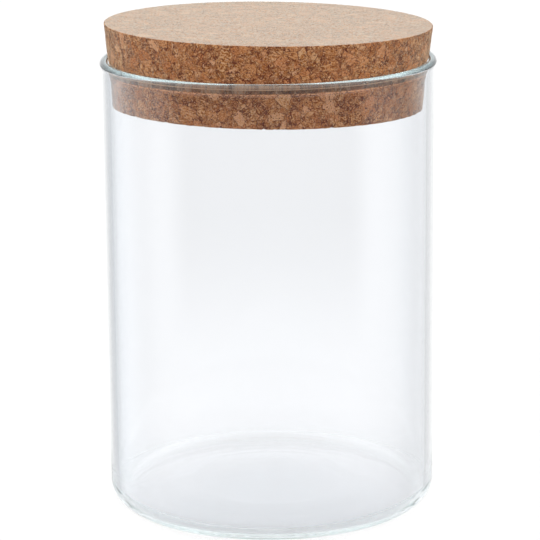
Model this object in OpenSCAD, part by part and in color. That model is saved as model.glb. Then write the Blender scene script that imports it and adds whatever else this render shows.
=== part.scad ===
// Storage jar of clear glass with a tapered stopper lid of pressed cork.
// The jar stands on the plane z = 0, centred on the Z axis. All lengths are in millimetres.

/* [Glass body] */
// Outside diameter of the straight wall
body_d = 100; // [80:1:140]
// Height of the glass, from the table to the top of its lip
jar_h = 137.7; // [90:0.1:240]
// Thickness of the straight wall
wall_t = 2.4; // [1.8:0.1:4]
// Outer rounding between the wall and the foot
heel_r = 6.6; // [5:0.1:10]
// Thickness of the glass floor
floor_t = 3; // [2:0.1:5]
// Width of the flat ring that the jar stands on
foot_ring_w = 2.4; // [1:0.1:5]
// How far the middle of the underside stands clear of the table
push_up = 1.2; // [0.4:0.1:2.5]
// Width of the gentle slope from the foot ring up to the middle
push_slope_w = 14; // [6:0.5:20]

/* [Lip] */
// How far the round lip stands out past the outside of the wall
lip_out = 0.6; // [0.2:0.05:1]
// How far the mouth opens at the lip, past the inside of the wall
lip_in = 0.4; // [0.2:0.05:0.8]
// Height over which the wall flares out to the widest part of the lip
flare_h = 1.8; // [1.2:0.1:5]

/* [Cork lid] */
// Height of the cork above the glass lip
lid_rise = 10.2; // [6:0.1:25]
// Depth that the cork reaches into the jar
lid_depth = 14; // [8:0.1:30]
// How far the edge of the flat top keeps inside the outside of the wall
lid_top_inset = 0.65; // [0:0.05:3]
// How far the cork bulges over the mouth that squeezes it
lid_swell = 0.4; // [0:0.05:0.6]
// How much the part inside the jar narrows down to its lower end
lid_foot_taper = 0.3; // [0:0.1:2]
// Gap between the cork and the inside of the glass
lid_gap = 0.25; // [0.2:0.05:0.6]
// Rounding of the lower edge
lid_foot_r = 1.6; // [0.5:0.1:3]
// Rounding of the upper edge
lid_top_r = 0.3; // [0.1:0.1:1.5]
// Lean of the cork in the mouth, in degrees, as it was pushed in by hand
lid_lean = 1.3; // [0:0.1:1.5]
// Direction of the lower side of the lean, in degrees from +X towards +Y
lid_lean_dir = 34; // [0:1:360]

/* [Hidden] */
$fn = 180;
// Flats in the profile of each rounding
arc_steps = 8;

body_r = body_d / 2;
bore_r = body_r - wall_t;
inner_heel_r = max(1, heel_r - wall_t);
foot_outer_r = body_r - heel_r;
foot_inner_r = foot_outer_r - foot_ring_w;

// The lip is a full round, as thick as the flared wall that it ends
lip_r = (wall_t + lip_out - lip_in) / 2;
lip_centre_r = body_r + lip_out - lip_r;
lip_z = jar_h - lip_r;
flare_z = lip_z - flare_h;

// The lean lowers one side of the cork and pushes its lower end sideways
lean_drop = body_r * sin(lid_lean);
lean_shift = lid_depth * sin(lid_lean);

// The cork follows the inside of the glass at the level of its lowered side
lid_neck_r = bore_r - lid_gap;
lid_neck_z = flare_z + lean_drop;
lid_mouth_r = lid_neck_r + lip_in;
lid_mouth_z = lip_z + lean_drop;
lid_swell_r = lid_mouth_r + lid_swell;
lid_swell_z = jar_h + lean_drop;
lid_foot_end_r = lid_neck_r - lid_foot_taper - lean_shift;
lid_foot_z = jar_h - lid_depth;
lid_top_end_r = body_r - lid_top_inset;
lid_top_z = jar_h + lid_rise;

// Smooth step from 0 to 1, level at both ends
function ease(t) = (1 - cos(180 * t)) / 2;

// Points of an arc about c, from angle a to angle b
function arc(c, r, a, b) =
    [for (i = [0:arc_steps]) let (t = a + (b - a) * i / arc_steps) c + r * [cos(t), sin(t)]];

// Points of a smooth shoulder from p to q that is upright at both ends
function shoulder(p, q) =
    [for (i = [0:arc_steps])
        let (t = i / arc_steps)
        [p[0] + (q[0] - p[0]) * ease(t), p[1] + (q[1] - p[1]) * t]];

// Points of a smooth slope from p to q that is level at both ends
function slope(p, q) =
    [for (i = [0:arc_steps])
        let (t = i / arc_steps)
        [p[0] + (q[0] - p[0]) * t, p[1] + (q[1] - p[1]) * ease(t)]];

// One half of the glass, cut through the axis: radius and height
module glass_section() {
    polygon(concat(
        // Pushed-up middle, foot ring and heel
        [[0, push_up]],
        slope([foot_inner_r - push_slope_w, push_up], [foot_inner_r, 0]),
        arc([foot_outer_r, heel_r], heel_r, -90, 0),
        // Outside of the wall, flare and round lip
        shoulder([body_r, flare_z], [body_r + lip_out, lip_z]),
        arc([lip_centre_r, lip_z], lip_r, 0, 180),
        // Down the inside to the floor
        shoulder([bore_r + lip_in, lip_z], [bore_r, flare_z]),
        arc([bore_r - inner_heel_r, floor_t + inner_heel_r], inner_heel_r, 0, -90),
        slope([foot_inner_r, floor_t], [foot_inner_r - push_slope_w, floor_t + push_up]),
        [[0, floor_t + push_up]]
    ));
}

module glass_jar() {
    color([0.86, 0.92, 0.93, 0.4]) rotate_extrude() glass_section();
}

// One half of the cork, cut through its own axis while it stands upright
module cork_section() {
    polygon(concat(
        [[0, lid_foot_z]],
        arc([lid_foot_end_r - lid_foot_r, lid_foot_z + lid_foot_r], lid_foot_r, -90, 0),
        [[lid_neck_r, lid_neck_z], [lid_mouth_r, lid_mouth_z], [lid_swell_r, lid_swell_z]],
        arc([lid_top_end_r - lid_top_r, lid_top_z - lid_top_r], lid_top_r, 0, 90),
        [[0, lid_top_z]]
    ));
}

// The lid leans about the middle of the mouth
module cork_lid() {
    color([0.66, 0.47, 0.33])
        translate([0, 0, jar_h])
        rotate([0, 0, lid_lean_dir])
        rotate([0, lid_lean, 0])
        rotate([0, 0, -lid_lean_dir])
        translate([0, 0, -jar_h])
        rotate_extrude() cork_section();
}

glass_jar();
cork_lid();
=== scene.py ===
# %% [markdown]
# # A glass jar with a cork lid
# The object is a straight jar of clear glass, closed by a tapered stopper of pressed cork.
# Both pieces are turned shapes, so each starts as half of a cross-section that is spun about
# an axis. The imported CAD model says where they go. This lesson gives them smooth glass, cork
# with real relief, and the light of a small studio.

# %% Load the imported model
import math

import bmesh
import bpy
from mathutils import Matrix, Vector


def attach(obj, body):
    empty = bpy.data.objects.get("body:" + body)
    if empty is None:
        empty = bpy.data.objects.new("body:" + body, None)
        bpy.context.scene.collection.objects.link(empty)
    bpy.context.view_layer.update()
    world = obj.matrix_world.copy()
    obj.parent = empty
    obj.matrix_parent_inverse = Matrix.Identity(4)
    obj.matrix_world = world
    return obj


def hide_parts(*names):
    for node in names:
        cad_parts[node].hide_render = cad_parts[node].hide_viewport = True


MM = 0.001


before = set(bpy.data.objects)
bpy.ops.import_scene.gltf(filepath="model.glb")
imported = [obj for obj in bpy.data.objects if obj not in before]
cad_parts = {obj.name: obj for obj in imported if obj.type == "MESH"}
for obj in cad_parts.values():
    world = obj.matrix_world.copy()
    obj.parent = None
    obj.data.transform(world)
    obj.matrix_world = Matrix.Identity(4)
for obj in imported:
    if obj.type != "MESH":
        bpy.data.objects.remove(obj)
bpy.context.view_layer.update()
print("CAD nodes:", sorted(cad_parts))

# %% [markdown]
# ## Camera
# The jar was photographed from a little above, with a long lens from about 0.8 m away, so
# its rims show as flat ellipses and its sides run almost parallel. A camera could be placed
# by eye, but rims this flat show every error, so the camera's place and tilt were fitted to
# the outlines of the glass and the cork.

# %% Camera
LENS_MM = 176.3
SENSOR_MM = 36
CAMERA_PLACE = (0.0, -0.78715, 0.26628)
CAMERA_TILT = 0.24253
CAMERA_ROLL = -0.009

scene = bpy.context.scene
camera = bpy.data.objects.new("camera", bpy.data.cameras.new("camera"))
scene.collection.objects.link(camera)
camera.data.sensor_fit = "HORIZONTAL"
camera.data.sensor_width = SENSOR_MM
camera.data.lens = LENS_MM
tilt = Matrix.Rotation(math.pi / 2 - CAMERA_TILT, 4, "X")
roll = Matrix.Rotation(CAMERA_ROLL, 4, "Z")
camera.matrix_world = Matrix.Translation(CAMERA_PLACE) @ tilt @ roll
scene.camera = camera
print("camera looks down", round(math.degrees(CAMERA_TILT), 1), "degrees")

# %% [markdown]
# ## Small helpers for nodes
# Materials, the world and Geometry Nodes are all trees of nodes. Most texture and maths nodes
# work in each of them, so one helper that adds a node and wires it serves them all, and a few
# short ones name the steps that come up again and again.


# %% Helpers for numbers
def node(tree, kind, inputs=(), **settings):
    """Adds a node. Numbers are set on its inputs and sockets are linked to them."""
    made = tree.nodes.new(kind)
    for name, value in settings.items():
        setattr(made, name, value)
    places = inputs.items() if isinstance(inputs, dict) else enumerate(inputs)
    for place, value in places:
        if isinstance(value, bpy.types.NodeSocket):
            tree.links.new(value, made.inputs[place])
        else:
            made.inputs[place].default_value = value
    return made


def maths(tree, operation, *values):
    """One step of arithmetic."""
    return node(tree, "ShaderNodeMath", values, operation=operation).outputs[0]


def vector(tree, operation, *values):
    """One step of arithmetic on a place or a colour."""
    return node(tree, "ShaderNodeVectorMath", values, operation=operation).outputs[0]


def split(tree, value):
    """The X, Y and Z of a place, or the three parts of a colour."""
    return node(tree, "ShaderNodeSeparateXYZ", [value]).outputs[:3]


def between(tree, value, start, end, low=0.0, high=1.0, kind="SMOOTHSTEP"):
    """Turns start to end into low to high, and stays flat outside."""
    steps = [value, start, end, low, high]
    return node(tree, "ShaderNodeMapRange", steps, interpolation_type=kind).outputs[0]


def pick(tree, amount, first, second):
    """Fades from the first number to the second as amount goes from 0 to 1."""
    return node(tree, "ShaderNodeMix", {0: amount, 2: first, 3: second}).outputs[0]


def without(tree, amount, part):
    """The amount where the part is 0, down to nothing where the part is 1."""
    return maths(tree, "MULTIPLY", amount, maths(tree, "SUBTRACT", 1.0, part))


# %% Helpers for colours
def tone(*srgb):
    """A colour as it looks on screen, 0 to 255, turned into the linear values of a shader."""
    parts = [value / 255 for value in srgb]
    linear = [p / 12.92 if p <= 0.04045 else ((p + 0.055) / 1.055) ** 2.4 for p in parts]
    return (*linear, 1.0)


def tinted(tree, amount, first, second):
    """Lays the second colour over the first."""
    sockets = {0: amount, 6: first, 7: second}
    return node(tree, "ShaderNodeMix", sockets, data_type="RGBA").outputs[2]


def ramp(tree, value, stops):
    """Colours for a value from 0 to 1."""
    made = node(tree, "ShaderNodeValToRGB", [value])
    band = made.color_ramp
    band.elements.remove(band.elements[1])
    band.elements[0].position, band.elements[0].color = stops[0]
    for position, colour in stops[1:]:
        band.elements.new(position).color = colour
    return made.outputs[0]


# %% [markdown]
# ## Studio
# Clear glass has hardly any colour, and shows only what is around it. Seen straight through
# it shows the wall behind, and at its edges it bends the view far to the side. Lamps would
# leave sharp white spots on it. So the jar stands in a white tent, which is the world itself,
# with a level for every direction. The walls are plain white behind and greyer to the sides.
# A strip along the horizon is what the lip and the heel bend into view. Brighter cloth above
# it lights the cork from both sides. Low in front, a narrow dark card and a dim apron keep
# the front of the glass clear of reflections. The camera itself sees plain white.

# %% Levels of the tent
# Each stop is an azimuth and a level. The azimuth is in degrees, 0 straight behind the jar
# and positive to the right, and a level of 1 is white.
WALLS = [
    (-180, 0.9),
    (-120, 0.92),
    (-85, 0.95),
    (-62, 1.12),
    (-50, 1.08),
    (-40, 0.76),
    (-28, 0.67),
    (-20, 0.8),
    (-12, 1.035),
    (13, 1.035),
    (28, 0.77),
    (46, 0.72),
    (68, 0.32),
    (95, 0.7),
    (120, 0.95),
    (180, 0.9),
]
HORIZON = [
    (-180, 0.85),
    (-110, 1.2),
    (-60, 0.95),
    (-24, 0.95),
    (-15, 1.1),
    (15, 1.1),
    (24, 0.75),
    (60, 0.8),
    (110, 1.3),
    (180, 0.85),
]
SIDE_LIGHTS = [
    (-180, 1.25),
    (-130, 1.3),
    (-90, 2.2),
    (-45, 1.4),
    (-15, 0.95),
    (15, 0.95),
    (45, 1.4),
    (85, 2.6),
    (120, 1.8),
    (180, 1.25),
]
CEILING_LEVEL = 1.12
CARD_LEVEL = 0.12
APRON_LEVEL = 0.3
# The walls turn a little blue at these azimuths, by this share
COOL = [(-100, 0.0), (-50, 1.0), (-15, 0.0), (15, 0.0), (45, 0.3), (100, 0.0)]
WHITE = (1, 1, 1, 1)
COOL_WHITE = (0.88, 0.94, 1, 1)
print("tent: card", CARD_LEVEL, "apron", APRON_LEVEL, "ceiling", CEILING_LEVEL)

# %% Places in the tent
# A part of the tent fades in from the first height to the second. A height is the sine of
# the angle above the level, so 0 is the horizon and 1 is overhead.
HORIZON_FROM = (-0.1, -0.04)
SIDE_LIGHTS_FROM = (0.33, 0.4)
CEILING_FROM = (0.5, 0.85)
UNDER_CARD = (-0.215, -0.29)
OVER_CARD = (-0.15, -0.13)
UNDER_APRON_TOP = (-0.38, -0.42)
OVER_APRON_FOOT = (-0.85, -0.75)
# The same for how far a direction points back to the camera
FRONT_FROM = (-0.1, -0.5)
# A ramp keeps colours up to 1, so brighter levels are divided by this on their way through
BRIGHTEST = 3.0


def around(tree, turn, stops):
    """A level that changes with the azimuth."""
    shares = [((azimuth + 180) / 360, level / BRIGHTEST) for azimuth, level in stops]
    greys = [(position, (share, share, share, 1)) for position, share in shares]
    return maths(tree, "MULTIPLY", ramp(tree, turn, greys), BRIGHTEST)


# %% Walls, horizon and lights
scene.view_settings.view_transform = "Standard"
scene.world = bpy.data.worlds.new("white tent")
scene.world.use_nodes = True
sky = scene.world.node_tree
sky.nodes.clear()
side, depth, height = split(sky, node(sky, "ShaderNodeTexCoord").outputs["Generated"])
turn = maths(sky, "ARCTAN2", side, depth)
turn = maths(sky, "MULTIPLY_ADD", turn, 1 / math.tau, 0.5)
raised = between(sky, height, *HORIZON_FROM)
level = pick(sky, raised, around(sky, turn, WALLS), around(sky, turn, HORIZON))
bright = between(sky, height, *SIDE_LIGHTS_FROM)
level = pick(sky, bright, level, around(sky, turn, SIDE_LIGHTS))
print("tent: walls", len(WALLS), "horizon", len(HORIZON), "lights", len(SIDE_LIGHTS), "stops")

# %% Card, apron and ceiling
ahead = between(sky, depth, *FRONT_FROM)
under = between(sky, height, *UNDER_CARD)
over = between(sky, height, *OVER_CARD)
card = without(sky, ahead, maths(sky, "MAXIMUM", under, over))
level = pick(sky, card, level, CARD_LEVEL)
under = between(sky, height, *UNDER_APRON_TOP)
over = between(sky, height, *OVER_APRON_FOOT)
apron = maths(sky, "MULTIPLY", ahead, maths(sky, "MULTIPLY", under, over))
level = pick(sky, apron, level, APRON_LEVEL)
level = pick(sky, between(sky, height, *CEILING_FROM), level, CEILING_LEVEL)

# %% Light of the tent
straight = node(sky, "ShaderNodeLightPath").outputs["Is Camera Ray"]
cool = without(sky, without(sky, around(sky, turn, COOL), raised), straight)
light = node(sky, "ShaderNodeBackground")
sky.links.new(tinted(sky, cool, WHITE, COOL_WHITE), light.inputs["Color"])
sky.links.new(pick(sky, straight, level, 1.0), light.inputs["Strength"])
node(sky, "ShaderNodeOutputWorld", [light.outputs[0]])
print("tent:", len(sky.nodes), "nodes")

# %% [markdown]
# ## Floor
# The jar stood on white paper that fades into the background. A bright floor would throw its
# own light up at the jar. So the floor is a thin pale sheet, and the tent shines through most
# of it, which keeps it white right up to the jar with only a faint shadow. Around the foot it
# is denser, and for every ray but the camera's own it is painted grey there: a painted shade
# that stands in for the shade the cork and the heel throw, which the glass shows.

# %% Sheet of the floor
FLOOR_R = 3.0
FLOOR_DROP = 0.0002

floor_bm = bmesh.new()
bmesh.ops.create_circle(floor_bm, cap_ends=True, segments=96, radius=FLOOR_R)
bmesh.ops.translate(floor_bm, verts=floor_bm.verts, vec=(0, 0, -FLOOR_DROP))
floor_mesh = bpy.data.meshes.new("floor")
floor_bm.to_mesh(floor_mesh)
floor_bm.free()
floor = bpy.data.objects.new("floor", floor_mesh)
scene.collection.objects.link(floor)
print("floor:", FLOOR_R * 2, "m across")

# %% Paper of the floor
# Shares of paper against clear sheet: as the camera sees it, far from the jar, and near it
SEEN_SHARE = 0.25
FAR_SHARE = 0.08
SHADE_SHARE = 0.85
# The painted shade is an oval a little in front of the jar, and fades out between two distances
SHADE_PLACE = (0, -0.05, 0)
SHADE_OVAL = (1.4, 1, 1)
SHADE_FADE = (0.04, 0.155)
# Painted shade: the grey that rays through the glass see under the jar
SHADED = (0.67, 0.70, 0.71, 1)
PALE = (0.96, 0.96, 0.96, 1)

paper = bpy.data.materials.new("pale sheet")
paper.use_nodes = True
tree = paper.node_tree
tree.nodes.clear()
straight = node(tree, "ShaderNodeLightPath").outputs["Is Camera Ray"]
matt = node(tree, "ShaderNodeBsdfDiffuse", {"Color": tinted(tree, straight, SHADED, PALE)})
clear = node(tree, "ShaderNodeBsdfTransparent")
spot = vector(tree, "MULTIPLY", node(tree, "ShaderNodeTexCoord").outputs["Object"], SHADE_OVAL)
away = node(tree, "ShaderNodeVectorMath", [spot, SHADE_PLACE], operation="DISTANCE")
share = between(tree, away.outputs["Value"], *SHADE_FADE, SHADE_SHARE, FAR_SHARE)
share = pick(tree, straight, share, SEEN_SHARE)
sheet = node(tree, "ShaderNodeMixShader", [share, clear.outputs[0], matt.outputs[0]])
node(tree, "ShaderNodeOutputMaterial", [sheet.outputs[0]])
floor.data.materials.append(paper)
print("floor: share of paper", SEEN_SHARE)

# %% [markdown]
# ## Turning a cross-section
# A lathe, or a turning mould for glass, makes the same form all the way round. It could be a
# cylinder that is edited ring by ring, but a line that is spun about the upright axis needs
# only the few corners of the cross-section. Each corner is rounded by a bevel while there is
# one line to round. To spin it step by step is slow, so a wedge is spun, and then copied.

# %% Helpers for the line
# An edge may pass its longest length by this share before it is cut
SPARE = 0.001


def section(corners):
    """A line of straight edges through the corners, each a radius and a height in mm."""
    bm = bmesh.new()
    points = [bm.verts.new((radius * MM, 0, height * MM)) for radius, height in corners]
    for start, end in zip(points, points[1:]):
        bm.edges.new((start, end))
    return bm


def corner_at(bm, radius, height):
    """The corner of the line that lies nearest to a radius and a height in mm."""
    goal = Vector((radius * MM, 0, height * MM))
    return min(bm.verts, key=lambda corner: (corner.co - goal).length)


def round_corner(bm, radius, height, reach, segments):
    """Rounds one corner of the line, starting at reach mm before and after it."""
    bmesh.ops.bevel(
        bm,
        geom=[corner_at(bm, radius, height)],
        offset=reach * MM,
        offset_type="OFFSET",
        segments=segments,
        profile=0.5,
        affect="VERTICES",
        clamp_overlap=True,
        material=-1,
    )


def divide(bm, longest):
    """Cuts every edge into equal parts, none longer than so many mm."""
    for edge in list(bm.edges):
        cuts = math.ceil(edge.calc_length() / (longest * MM) - SPARE) - 1
        if cuts > 0:
            bmesh.ops.subdivide_edges(bm, edges=[edge], cuts=cuts)


# %% Helpers for the turned shape
WEDGE = 30
# In metres: more than a seam gapes by rounding, less than the shortest edge of a line
MERGE = 3e-7


def turn_round(bm, steps):
    """Turns the line about the Z axis: a wedge of a few steps first, and then copies of it."""
    centre = {"cent": (0, 0, 0), "axis": (0, 0, 1)}
    line = bm.verts[:] + bm.edges[:]
    bmesh.ops.spin(bm, geom=line, angle=math.tau * WEDGE / steps, steps=WEDGE, **centre)
    wedge = bm.faces[:]
    count = steps // WEDGE
    bmesh.ops.spin(bm, geom=wedge, angle=math.tau, steps=count, use_duplicate=True, **centre)
    bmesh.ops.remove_doubles(bm, verts=bm.verts, dist=MERGE)
    bmesh.ops.recalc_face_normals(bm, faces=bm.faces)


def piece(bm, name):
    """Makes the object that shows a finished bmesh, smooth all over."""
    for face in bm.faces:
        face.smooth = True
    mesh = bpy.data.meshes.new(name)
    bm.to_mesh(mesh)
    bm.free()
    made = bpy.data.objects.new(name, mesh)
    scene.collection.objects.link(made)
    triangles = sum(len(face.vertices) - 2 for face in mesh.polygons)
    print(name, "has", triangles, "triangles")
    return made


# %% [markdown]
# ## The glass jar
# Such a jar is blown in a turning mould, and its rim is melted smooth in a flame. That leaves
# a straight wall, a full round lip that flares a little, a soft heel, and a floor that is
# pushed up in the middle so that only a narrow ring touches the table. A single surface with
# a thickness added later would give one even wall, so the line runs up the outside, over the
# lip and down the inside. The numbers are those of the CAD model.

# %% Sizes of the glass, in mm
BODY_R = 50.0
JAR_H = 137.7
WALL = 2.4
HEEL_R = 6.6
FLOOR_T = 3.0
PUSH_UP = 1.2
RING_W = 2.4
SLOPE_W = 14.0
LIP_OUT = 0.6
LIP_IN = 0.4
FLARE_H = 1.8

BORE_R = BODY_R - WALL
RING_OUT_R = BODY_R - HEEL_R
RING_IN_R = RING_OUT_R - RING_W
DOME_R = RING_IN_R - SLOPE_W
LIP_R = (WALL + LIP_OUT - LIP_IN) / 2
LIP_Z = JAR_H - LIP_R
FLARE_Z = LIP_Z - FLARE_H
print("glass", BODY_R * 2, "mm wide,", JAR_H, "mm high, lip radius", LIP_R)

# %% Half of the glass, as a line
glass_bm = section(
    [
        (0, PUSH_UP),
        (DOME_R, PUSH_UP),
        (RING_IN_R, 0),
        (BODY_R, 0),
        (BODY_R, FLARE_Z),
        (BODY_R + LIP_OUT, LIP_Z),
        (BODY_R + LIP_OUT, JAR_H),
        (BORE_R + LIP_IN, JAR_H),
        (BORE_R + LIP_IN, LIP_Z),
        (BORE_R, FLARE_Z),
        (BORE_R, FLOOR_T),
        (RING_IN_R, FLOOR_T),
        (DOME_R, FLOOR_T + PUSH_UP),
        (0, FLOOR_T + PUSH_UP),
    ]
)
print("cross-section of the glass:", len(glass_bm.verts), "sharp corners")

# %% Round the corners of the glass
# The two halves of the lip stop just short of each other, so that no edge has no length
LIP_REACH = LIP_R * 0.999
FLARE_REACH = 0.8
SLOPE_REACH = 5.0

round_corner(glass_bm, BODY_R, 0, HEEL_R, segments=16)
round_corner(glass_bm, BORE_R, FLOOR_T, HEEL_R - WALL, segments=12)
round_corner(glass_bm, BODY_R + LIP_OUT, JAR_H, LIP_REACH, segments=10)
round_corner(glass_bm, BORE_R + LIP_IN, JAR_H, LIP_REACH, segments=10)
for radius in (BODY_R, BORE_R):
    round_corner(glass_bm, radius, FLARE_Z, FLARE_REACH, segments=4)
for radius in (BODY_R + LIP_OUT, BORE_R + LIP_IN):
    round_corner(glass_bm, radius, LIP_Z, FLARE_REACH, segments=4)
for radius, height in ((DOME_R, PUSH_UP), (DOME_R, FLOOR_T + PUSH_UP), (RING_IN_R, FLOOR_T)):
    round_corner(glass_bm, radius, height, SLOPE_REACH, segments=4)
print("cross-section of the glass:", len(glass_bm.verts), "points")

# %% Spin the glass
GLASS_STEPS = 540
GLASS_EDGE = 6.0

divide(glass_bm, GLASS_EDGE)
turn_round(glass_bm, GLASS_STEPS)
glass_jar = piece(glass_bm, "clear_glass_jar")

# %% [markdown]
# ## Clear glass
# One thin see-through surface would look like film, with no bright lip or heel. The wall here
# has both its faces, so the shader has only to bend light at each one. The faces take a trace
# of blue, and the body of the glass takes up a little red, as iron in the melt does. Both are
# so weak that they show only at the lip, at the heel and where the view runs along the wall.

# %% Glass material
FACE_TINT = (0.982, 0.987, 1.0, 1)
BODY_TINT = (0.7, 0.95, 0.97, 1)
BODY_DENSITY = 2.0
GLASS_IOR = 1.5

clear_glass = bpy.data.materials.new("clear glass")
clear_glass.use_nodes = True
glass_tree = clear_glass.node_tree
glass_shader = glass_tree.nodes["Principled BSDF"]
glass_shader.inputs["Base Color"].default_value = FACE_TINT
glass_shader.inputs["Transmission Weight"].default_value = 1.0
glass_shader.inputs["Roughness"].default_value = 0.0
glass_shader.inputs["IOR"].default_value = GLASS_IOR
sockets = {"Color": BODY_TINT, "Density": BODY_DENSITY}
body_tint = node(glass_tree, "ShaderNodeVolumeAbsorption", sockets)
glass_out = glass_tree.nodes["Material Output"]
glass_tree.links.new(body_tint.outputs[0], glass_out.inputs["Volume"])
glass_jar.data.materials.append(clear_glass)
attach(glass_jar, "jar")
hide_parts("glass_jar")
print("glass rides on the jar")

# %% [markdown]
# ## The cork lid
# Pressed cork is crushed bark, glued into a block and cut on a lathe. The cut leaves a plain
# tapered form, so the piece starts as a turned shape like the glass. Its top is filled with
# an even grid, so that relief works there as well as on the side. A person pushed it in a
# little crooked, so it leans by just over a degree. Cork is soft, and the level mouth squeezes
# it evenly all round. So before the cork is leaned, its squeezed neck is let down towards the
# side that the lean will raise, and afterwards it lies level with the mouth.

# %% Sizes of the cork, in mm
LEAN = math.radians(1.3)
LEAN_TOWARDS = math.radians(34)
CORK_DEPTH = 14.0
CORK_RISE = 10.2
CORK_GAP = 0.25
FOOT_TAPER = 0.3
SWELL = 0.6
TOP_INSET = 0.65

LEAN_DROP = BODY_R * math.sin(LEAN)
FOOT_Z = JAR_H - CORK_DEPTH
FOOT_R = BORE_R - CORK_GAP - FOOT_TAPER - CORK_DEPTH * math.sin(LEAN)
NECK_R = BORE_R - CORK_GAP
MOUTH_R = NECK_R + LIP_IN
SWELL_R = MOUTH_R + SWELL
NECK_Z = FLARE_Z + LEAN_DROP
MOUTH_Z = LIP_Z + LEAN_DROP
SWELL_Z = JAR_H + LEAN_DROP
TOP_R = BODY_R - TOP_INSET
TOP_Z = JAR_H + CORK_RISE
print("cork", round(TOP_Z - FOOT_Z, 1), "mm thick,", TOP_R * 2, "mm across its top")

# %% Half of the cork, as a line, and spin it
CORK_STEPS = 720
CORK_EDGE = 0.45
UNDERSIDE_EDGE = 5.0
TOP_RING_W = 0.7
TOP_ROUND = 0.3
FOOT_ROUND = 1.6

cork_bm = section(
    [
        (FOOT_R, FOOT_Z),
        (NECK_R, NECK_Z),
        (MOUTH_R, MOUTH_Z),
        (SWELL_R, SWELL_Z),
        (TOP_R, TOP_Z),
        (TOP_R - TOP_RING_W, TOP_Z),
    ]
)
round_corner(cork_bm, TOP_R, TOP_Z, TOP_ROUND, segments=4)
divide(cork_bm, CORK_EDGE)
foot = cork_bm.verts.new((0, 0, FOOT_Z * MM))
cork_bm.edges.new((foot, corner_at(cork_bm, FOOT_R, FOOT_Z)))
round_corner(cork_bm, FOOT_R, FOOT_Z, FOOT_ROUND, segments=6)
divide(cork_bm, UNDERSIDE_EDGE)
turn_round(cork_bm, CORK_STEPS)
print("cork: points before its top is filled:", len(cork_bm.verts))

# %% Fill the top of the cork
TOP_SLOT = 1
FLAT = 0.001

rim = [edge for edge in cork_bm.edges if edge.is_boundary]
rim.sort(key=lambda edge: math.atan2(*(edge.verts[0].co + edge.verts[1].co).xy))
quarter = len(rim) // 4
bmesh.ops.grid_fill(cork_bm, edges=rim[:quarter] + rim[2 * quarter : 3 * quarter])
bmesh.ops.recalc_face_normals(cork_bm, faces=cork_bm.faces)
for face in cork_bm.faces:
    if face.calc_center_median().z > (TOP_Z - FLAT) * MM:
        face.material_index = TOP_SLOT
print("cork: edges round the open top:", len(rim))

# %% Let the squeezed neck follow the mouth
# In mm: the underside stays, apart from a ring of this width, and so does the top edge
UNDERSIDE_RING_W = 2
TOP_EDGE_H = 0.5
SIDE_SLOPE = (TOP_R - SWELL_R) / (TOP_Z - SWELL_Z)

for point in cork_bm.verts:
    radius, height = point.co.xy.length / MM, point.co.z / MM
    if radius > FOOT_R - UNDERSIDE_RING_W and height < TOP_Z - TOP_EDGE_H:
        turned_by = math.atan2(point.co.y, point.co.x) - LEAN_TOWARDS
        rising = (height - FOOT_Z) / (NECK_Z - FOOT_Z)
        falling = (TOP_Z - height) / (TOP_Z - SWELL_Z)
        share = max(0.0, min(1.0, rising, falling))
        sunk = LEAN_DROP * (1 - math.cos(turned_by)) * share
        point.co.z -= sunk * MM
        if height > MOUTH_Z:
            share = min(1.0, (height - MOUTH_Z) / (SWELL_Z - MOUTH_Z))
            point.co.xy *= 1 - share * sunk * SIDE_SLOPE / radius
print("cork: neck let down by up to", round(2 * LEAN_DROP, 2), "mm")

# %% Lean the cork
tip_axis = (-math.sin(LEAN_TOWARDS), math.cos(LEAN_TOWARDS), 0)
tip = Matrix.Rotation(LEAN, 3, tip_axis)
bmesh.ops.rotate(cork_bm, verts=cork_bm.verts, cent=(0, 0, JAR_H * MM), matrix=tip)
cork_lid = piece(cork_bm, "pressed_cork_lid")

# %% [markdown]
# ## Granules
# Crushed bark makes angular granules, from crumbs of well under 1 mm to pieces of over 4 mm.
# Plain noise would look like sponge. A Voronoi texture cuts space into cells with straight
# borders, as packed crumbs have. Coarse cells make the large granules, some of them are cut
# again into middling ones, and some of those into crumbs. Noise bends the borders a little.
# The relief and the colour both read this one pattern, so they fit each other.

# %% Pattern of the granules
CELLS_PER_METRE = (300, 640, 1350)
# A granule is cut again where its first random number is above this
CUT_ABOVE = (0.38, 0.45)
BEND_SCALE = 1100.0
BEND_REACH = 0.0008


def noise(tree, place, scale, detail=2.0, output="Fac"):
    """Soft noise with so many bumps to the metre."""
    sockets = {"Vector": place, "Scale": scale, "Detail": detail}
    return node(tree, "ShaderNodeTexNoise", sockets).outputs[output]


def cells(tree, place, scale):
    """Cells of 1/scale metres: random numbers for each, and the way to its border in mm."""
    sockets = {"Vector": place, "Scale": scale, "Randomness": 1.0}
    random = node(tree, "ShaderNodeTexVoronoi", sockets, feature="F1").outputs["Color"]
    border = node(tree, "ShaderNodeTexVoronoi", sockets, feature="DISTANCE_TO_EDGE")
    way = maths(tree, "MULTIPLY", border.outputs["Distance"], 1 / MM / scale)
    return random, way


def granules(tree, place):
    """The place with bent borders, and a granule's random numbers and way to its border."""
    wobble = noise(tree, place, BEND_SCALE, 1.0, "Color")
    shift = vector(tree, "SUBTRACT", wobble, (0.5, 0.5, 0.5))
    bent = vector(tree, "MULTIPLY_ADD", shift, [BEND_REACH] * 3, place)
    own, border = cells(tree, bent, CELLS_PER_METRE[0])
    cut = split(tree, own)[0]
    for scale, share in zip(CELLS_PER_METRE[1:], CUT_ABOVE):
        again = maths(tree, "GREATER_THAN", cut, share)
        finer, finer_border = cells(tree, bent, scale)
        border = pick(tree, again, border, maths(tree, "MINIMUM", border, finer_border))
        sockets = {0: again, 4: own, 5: finer}
        own = node(tree, "ShaderNodeMix", sockets, data_type="VECTOR").outputs[1]
        cut = maths(tree, "MULTIPLY", again, split(tree, finer)[0])
    return bent, own, border


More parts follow.
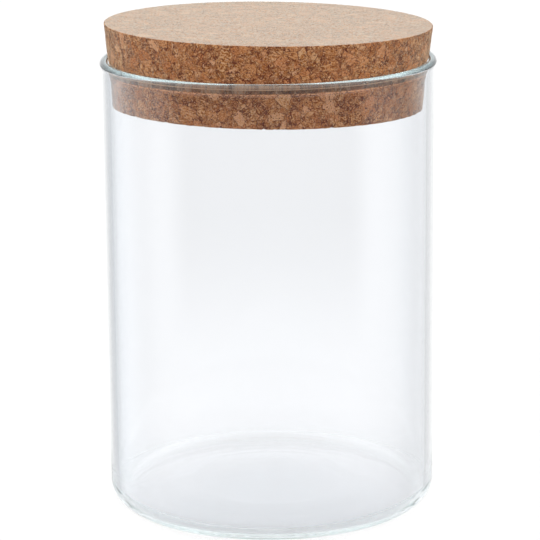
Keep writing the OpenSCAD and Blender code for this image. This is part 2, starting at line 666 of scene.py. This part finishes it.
# %% [markdown]
# ## Relief of the cork
# The lathe tears some granules out a little deeper than others, and opens crevices between
# them. Bump in a material only shades the surface, and would be missing from the exported
# mesh. So Geometry Nodes push each point inwards by the depth that the pattern gives it, and
# the result is kept as the piece's mesh. The top was sanded, and gets less of it.

# %% Relief of the cork
HOLLOW_DEPTH = 0.30
HOLLOW_REACH = 0.22
GRANULE_STEP = 0.10
# A face counts as sanded top from how far it points up, and keeps this share of the relief
TOP_FROM = (0.5, 0.9)
SANDED_SHARE = 0.3
# Crevices are open only where slow noise is high
OPEN_SCALE = 420.0
OPEN_FROM = (0.5, 0.62)

relief = bpy.data.node_groups.new("cork relief", "GeometryNodeTree")
relief.interface.new_socket("Geometry", in_out="INPUT", socket_type="NodeSocketGeometry")
relief.interface.new_socket("Geometry", in_out="OUTPUT", socket_type="NodeSocketGeometry")
start = node(relief, "NodeGroupInput").outputs[0]
place = node(relief, "GeometryNodeInputPosition").outputs[0]
outward = node(relief, "GeometryNodeInputNormal").outputs[0]
_, own, border = granules(relief, place)
opened = between(relief, noise(relief, place, OPEN_SCALE), *OPEN_FROM)
hollow = maths(relief, "MULTIPLY", between(relief, border, HOLLOW_REACH, 0.0), opened)
depth_mm = maths(relief, "MULTIPLY", hollow, HOLLOW_DEPTH)
depth_mm = maths(relief, "MULTIPLY_ADD", split(relief, own)[1], GRANULE_STEP, depth_mm)
sanded = between(relief, split(relief, outward)[2], *TOP_FROM, 1.0, SANDED_SHARE)
depth_mm = maths(relief, "MULTIPLY", depth_mm, sanded)
inward = maths(relief, "MULTIPLY", depth_mm, -MM)
shift = node(relief, "ShaderNodeVectorMath", {0: outward, "Scale": inward}, operation="SCALE")
moved = node(relief, "GeometryNodeSetPosition", {"Geometry": start, "Offset": shift.outputs[0]})
node(relief, "NodeGroupOutput", [moved.outputs[0]])
print("cork relief: up to", HOLLOW_DEPTH + GRANULE_STEP, "mm deep")

# %% Keep the relief in the mesh
maker = cork_lid.modifiers.new("relief", "NODES")
maker.node_group = relief
depsgraph = bpy.context.evaluated_depsgraph_get()
carved = bpy.data.meshes.new_from_object(cork_lid.evaluated_get(depsgraph))
cork_lid.modifiers.clear()
cork_lid.data = carved
print("cork relief:", len(carved.vertices), "points")

# %% [markdown]
# ## Colours of the cork
# Each granule has its own brown, a little redder or yellower, and growth lines that run its
# own way. A few are pale flakes. Borders, cracks and pits are a dark red-brown. A picture of
# cork would have to be wrapped round the piece and would show a seam, so all of this is
# worked out in space from the same cells as the relief, and is the same from every side.

# %% Browns from dark to pale
REDDER = [
    (0.0, tone(126, 58, 22)),
    (0.3, tone(160, 94, 48)),
    (0.55, tone(187, 121, 76)),
    (0.8, tone(196, 137, 94)),
    (1.0, tone(208, 156, 118)),
]
YELLOWER = [
    (0.0, tone(120, 62, 20)),
    (0.3, tone(156, 98, 48)),
    (0.55, tone(184, 126, 74)),
    (0.8, tone(193, 140, 90)),
    (1.0, tone(205, 158, 114)),
]
BASE_LIGHT = 0.38
GRANULE_LIGHT = 0.35
FLAKE_LIGHT = 0.25
FLAKES_FROM = (0.87, 0.92)
# The span that noise mostly fills
NOISE_SPAN = (0.3, 0.7)
GROWTH_SCALE = 2300.0
GROWTH_STRETCH = (1, 1, 0.15)
# Growth lines are strong in the granules with the higher hues
STRIPED_FROM = (0.4, 0.8)
STRIPED_LIGHT = (0.15, 0.5)
MOTTLE_SCALE = 2800.0
MOTTLE_LIGHT = 0.55
YELLOW_SHARES = (0.1, 0.75)


def browns(tree, place, bent, own):
    """How light each point of the granules is, from 0 to 1, and its brown."""
    _, tint, hue = split(tree, own)
    spin = node(tree, "ShaderNodeVectorMath", {0: own, "Scale": math.tau}, operation="SCALE")
    sockets = {"Vector": bent, "Rotation": spin.outputs[0]}
    turned = node(tree, "ShaderNodeVectorRotate", sockets, rotation_type="EULER_XYZ")
    stretched = vector(tree, "MULTIPLY", turned.outputs[0], GROWTH_STRETCH)
    lines = between(tree, noise(tree, stretched, GROWTH_SCALE, 1.0), *NOISE_SPAN, -1.0, 1.0)
    growth = maths(tree, "MULTIPLY", lines, between(tree, hue, *STRIPED_FROM, *STRIPED_LIGHT))
    mottle = noise(tree, place, MOTTLE_SCALE, 1.0)
    mottle = between(tree, mottle, *NOISE_SPAN, -0.5, 0.5, kind="LINEAR")
    base = maths(tree, "ADD", between(tree, tint, *FLAKES_FROM, 0.0, FLAKE_LIGHT), BASE_LIGHT)
    light = maths(tree, "MULTIPLY_ADD", tint, GRANULE_LIGHT, base)
    light = maths(tree, "ADD", growth, light)
    light = maths(tree, "MULTIPLY_ADD", mottle, MOTTLE_LIGHT, light)
    yellow = between(tree, hue, 0.0, 1.0, *YELLOW_SHARES)
    red_brown, yellow_brown = ramp(tree, light, REDDER), ramp(tree, light, YELLOWER)
    return light, tinted(tree, yellow, red_brown, yellow_brown)


# %% Dark borders, cracks and pits
DARK_SEAM = tone(94, 34, 8)
# A seam fades in between these ways to the border, in mm
SEAM_REACH = (0.12, 0.03)
# Seams are dark where slow noise is high, and elsewhere keep this share
SEAM_SCALE = 520.0
SEAMS_FROM = (0.42, 0.6)
FAINT_SHARE = 0.3
# A crack winds along the middle value of noise, and a second noise breaks it up
CRACK_SCALE = 1250.0
CRACK_WIDTH = 0.03
BROKEN_SCALE = 900.0
BROKEN_FROM = (0.5, 0.56)
PORE_SCALE = 1900.0
PITS_FROM = (0.61, 0.65)


def hollows(tree, place, bent, border):
    """1 in a border between granules, in a crack across one, or in a pit."""
    opened = between(tree, noise(tree, place, SEAM_SCALE), *SEAMS_FROM, FAINT_SHARE, 1.0)
    seam = maths(tree, "MULTIPLY", between(tree, border, *SEAM_REACH), opened)
    winding = maths(tree, "SUBTRACT", noise(tree, place, CRACK_SCALE, 1.0), 0.5)
    winding = between(tree, maths(tree, "ABSOLUTE", winding), CRACK_WIDTH, 0.0)
    broken = between(tree, noise(tree, bent, BROKEN_SCALE, 1.0), *BROKEN_FROM)
    cracks = maths(tree, "MULTIPLY", winding, broken)
    pits = between(tree, noise(tree, place, PORE_SCALE), *PITS_FROM)
    return maths(tree, "MAXIMUM", maths(tree, "MAXIMUM", seam, pits), cracks)


# %% [markdown]
# ## Painted shade and light where the lip grips
# Behind the lip the cork is painted dark: a painted shade, where the cork lies pressed against
# the glass in the shade of the lip, with upright streaks and some paler patches. The edge just
# above gets a pale band of painted light, which the lip's round bends onto it, and below it a
# thin broken ring of painted highlight, where the lower end of the lip bends light onto the
# cork. They could be painted by hand, but the rings are level, so the height in the mouth is
# enough to place them.

# %% Rings of painted shade and light
# Heights in mm of each ring's lower and upper edge, where the lid sits in the mouth
HIGHLIGHT_RING = (134.3, 134.6)
MOUTH_SHADE_RING = (134.9, 136.08)
PAINTED_LIGHT_RING = (136.08, 137.3)
RING_BLUR = 0.15
# Painted shade of the mouth behind the lip
MOUTH_SHADE = tone(66, 42, 27)
# A paler colour for patches in the painted shade
PALE_PATCH = tone(144, 116, 94)
# Painted highlight: a thin bright ring below the painted shade
PAINTED_HIGHLIGHT = tone(232, 170, 120)
# Painted light: a pale band above the painted shade
PAINTED_LIGHT = tone(196, 170, 144)
PAINTED_LIGHT_SHARE = 0.65
# The streaks vary how dark the painted shade is, between two shares
STREAK_SCALE = 1300.0
STREAK_STRETCH = (1, 1, 0.12)
STREAK_SPAN = (0.35, 0.65)
MOUTH_SHADE_SHARES = (0.55, 0.92)
# Paler patches in the painted shade are where slow noise and half of the streaks are high
# together
PATCH_SCALE = 300.0
PATCH_STRETCH = (1, 1, 0.4)
PALE_PATCHES_FROM = (0.73, 0.86)
# Noise breaks the ring of painted highlight into bits
HIGHLIGHT_BREAK_SCALE = 1300.0
HIGHLIGHT_BREAKS_FROM = (0.42, 0.56)


def ring(tree, height, low, high):
    """1 between two heights in mm, with soft edges."""
    over = between(tree, height, (low - RING_BLUR) * MM, (low + RING_BLUR) * MM)
    under = between(tree, height, (high + RING_BLUR) * MM, (high - RING_BLUR) * MM)
    return maths(tree, "MULTIPLY", over, under)


def mouth_shade_and_light(tree, place, surface):
    """Lays the rings of painted shade, painted highlight and painted light over the cork's
    colour.
    """
    height = split(tree, place)[2]
    stretched = vector(tree, "MULTIPLY", place, STREAK_STRETCH)
    streaks = noise(tree, stretched, STREAK_SCALE, 1.0)
    streaked = between(tree, streaks, *STREAK_SPAN, *MOUTH_SHADE_SHARES)
    mouth_shade = maths(tree, "MULTIPLY", ring(tree, height, *MOUTH_SHADE_RING), streaked)
    stretched = vector(tree, "MULTIPLY", place, PATCH_STRETCH)
    patches = noise(tree, stretched, PATCH_SCALE, 1.0)
    patches = maths(tree, "MULTIPLY_ADD", streaks, 0.5, patches)
    pale_patches = between(tree, patches, *PALE_PATCHES_FROM)
    surface = tinted(tree, mouth_shade, surface, tinted(tree, pale_patches, MOUTH_SHADE, PALE_PATCH))
    highlight_breaks = between(tree, noise(tree, place, HIGHLIGHT_BREAK_SCALE), *HIGHLIGHT_BREAKS_FROM)
    highlight = maths(tree, "MULTIPLY", ring(tree, height, *HIGHLIGHT_RING), highlight_breaks)
    surface = tinted(tree, highlight, surface, PAINTED_HIGHLIGHT)
    painted_light = maths(tree, "MULTIPLY", ring(tree, height, *PAINTED_LIGHT_RING), PAINTED_LIGHT_SHARE)
    return tinted(tree, painted_light, surface, PAINTED_LIGHT)


# %% [markdown]
# ## Two finishes of one cork
# The side is as the lathe cut it, and matt. The top was sanded: fine dust fills its pores,
# which makes it paler and calmer. That pale dust colour also carries a painted sheen, the
# light the top reflects where it is seen at a grazing angle. Both have the soft shine that a
# dusty surface shows when it is seen along its length, which is sheen rather than gloss. The
# side and the top share one pattern, so a granule runs over the edge, but each has its own
# material.

# %% Cork materials
# Pale dust, partly real sanding dust and partly a painted sheen on the top
DUST_AND_SHEEN = tone(198, 191, 178)
DUST_AND_SHEEN_FROM = (0.4, 0.6)
SHEEN_TINT = (1, 0.96, 0.72, 1)
SHEEN_ROUGHNESS = 0.3
GLOSS = 0.2
BUMP_HEIGHT = 0.0002


def cork_material(name, dust_and_sheen_shares, roughness, sheen, bumps):
    """Pressed cork, with its pores filled by fine dust, whose pale colour also paints a sheen,
    to between two shares.
    """
    made = bpy.data.materials.new(name)
    made.use_nodes = True
    tree = made.node_tree
    shader = tree.nodes["Principled BSDF"]
    place = node(tree, "ShaderNodeTexCoord").outputs["Object"]
    bent, own, border = granules(tree, place)
    light, surface = browns(tree, place, bent, own)
    hollow = hollows(tree, place, bent, border)
    surface = mouth_shade_and_light(tree, place, tinted(tree, hollow, surface, DARK_SEAM))
    dust_and_sheen = between(tree, noise(tree, place, PORE_SCALE), *DUST_AND_SHEEN_FROM, *dust_and_sheen_shares)
    surface = tinted(tree, dust_and_sheen, surface, DUST_AND_SHEEN)
    grain = maths(tree, "MULTIPLY_ADD", hollow, -1.0, light)
    sockets = {"Height": grain, "Strength": bumps, "Distance": BUMP_HEIGHT}
    bump = node(tree, "ShaderNodeBump", sockets)
    tree.links.new(surface, shader.inputs["Base Color"])
    tree.links.new(bump.outputs[0], shader.inputs["Normal"])
    shader.inputs["Roughness"].default_value = roughness
    shader.inputs["Specular IOR Level"].default_value = GLOSS
    shader.inputs["Sheen Weight"].default_value = sheen
    shader.inputs["Sheen Roughness"].default_value = SHEEN_ROUGHNESS
    shader.inputs["Sheen Tint"].default_value = SHEEN_TINT
    print(name, "has", len(tree.nodes), "nodes")
    return made


# %% Dress the cork
cork_side = cork_material("cut cork", dust_and_sheen_shares=(0.0, 0.04), roughness=0.6, sheen=0.55, bumps=0.6)
# The top's large share of it is partly a painted sheen
cork_top = cork_material("sanded cork with painted sheen", dust_and_sheen_shares=(0.2, 0.75), roughness=0.5, sheen=0.25, bumps=0.12)
for material in (cork_side, cork_top):
    cork_lid.data.materials.append(material)
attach(cork_lid, "lid")
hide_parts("cork_lid")
print("cork rides on the lid")

# %% [markdown]
# ## Render settings
# Light reaches the cork's lower part through the glass, so refraction has to carry it, and a
# ray may cross eight faces of glass. Filter Glossy would frost the glass for that light, and
# darken the cork behind it, so it is off.

# %% Render settings
MOST_BOUNCES = 128
MOST_CLEAR_LAYERS = 32

scene.cycles.use_denoising = True
scene.cycles.blur_glossy = 0.0
scene.cycles.max_bounces = MOST_BOUNCES
scene.cycles.transmission_bounces = MOST_BOUNCES
scene.cycles.glossy_bounces = MOST_BOUNCES
scene.cycles.transparent_max_bounces = MOST_CLEAR_LAYERS
scene.cycles.caustics_refractive = True
scene.cycles.caustics_reflective = True
print("a ray may bounce", MOST_BOUNCES, "times")
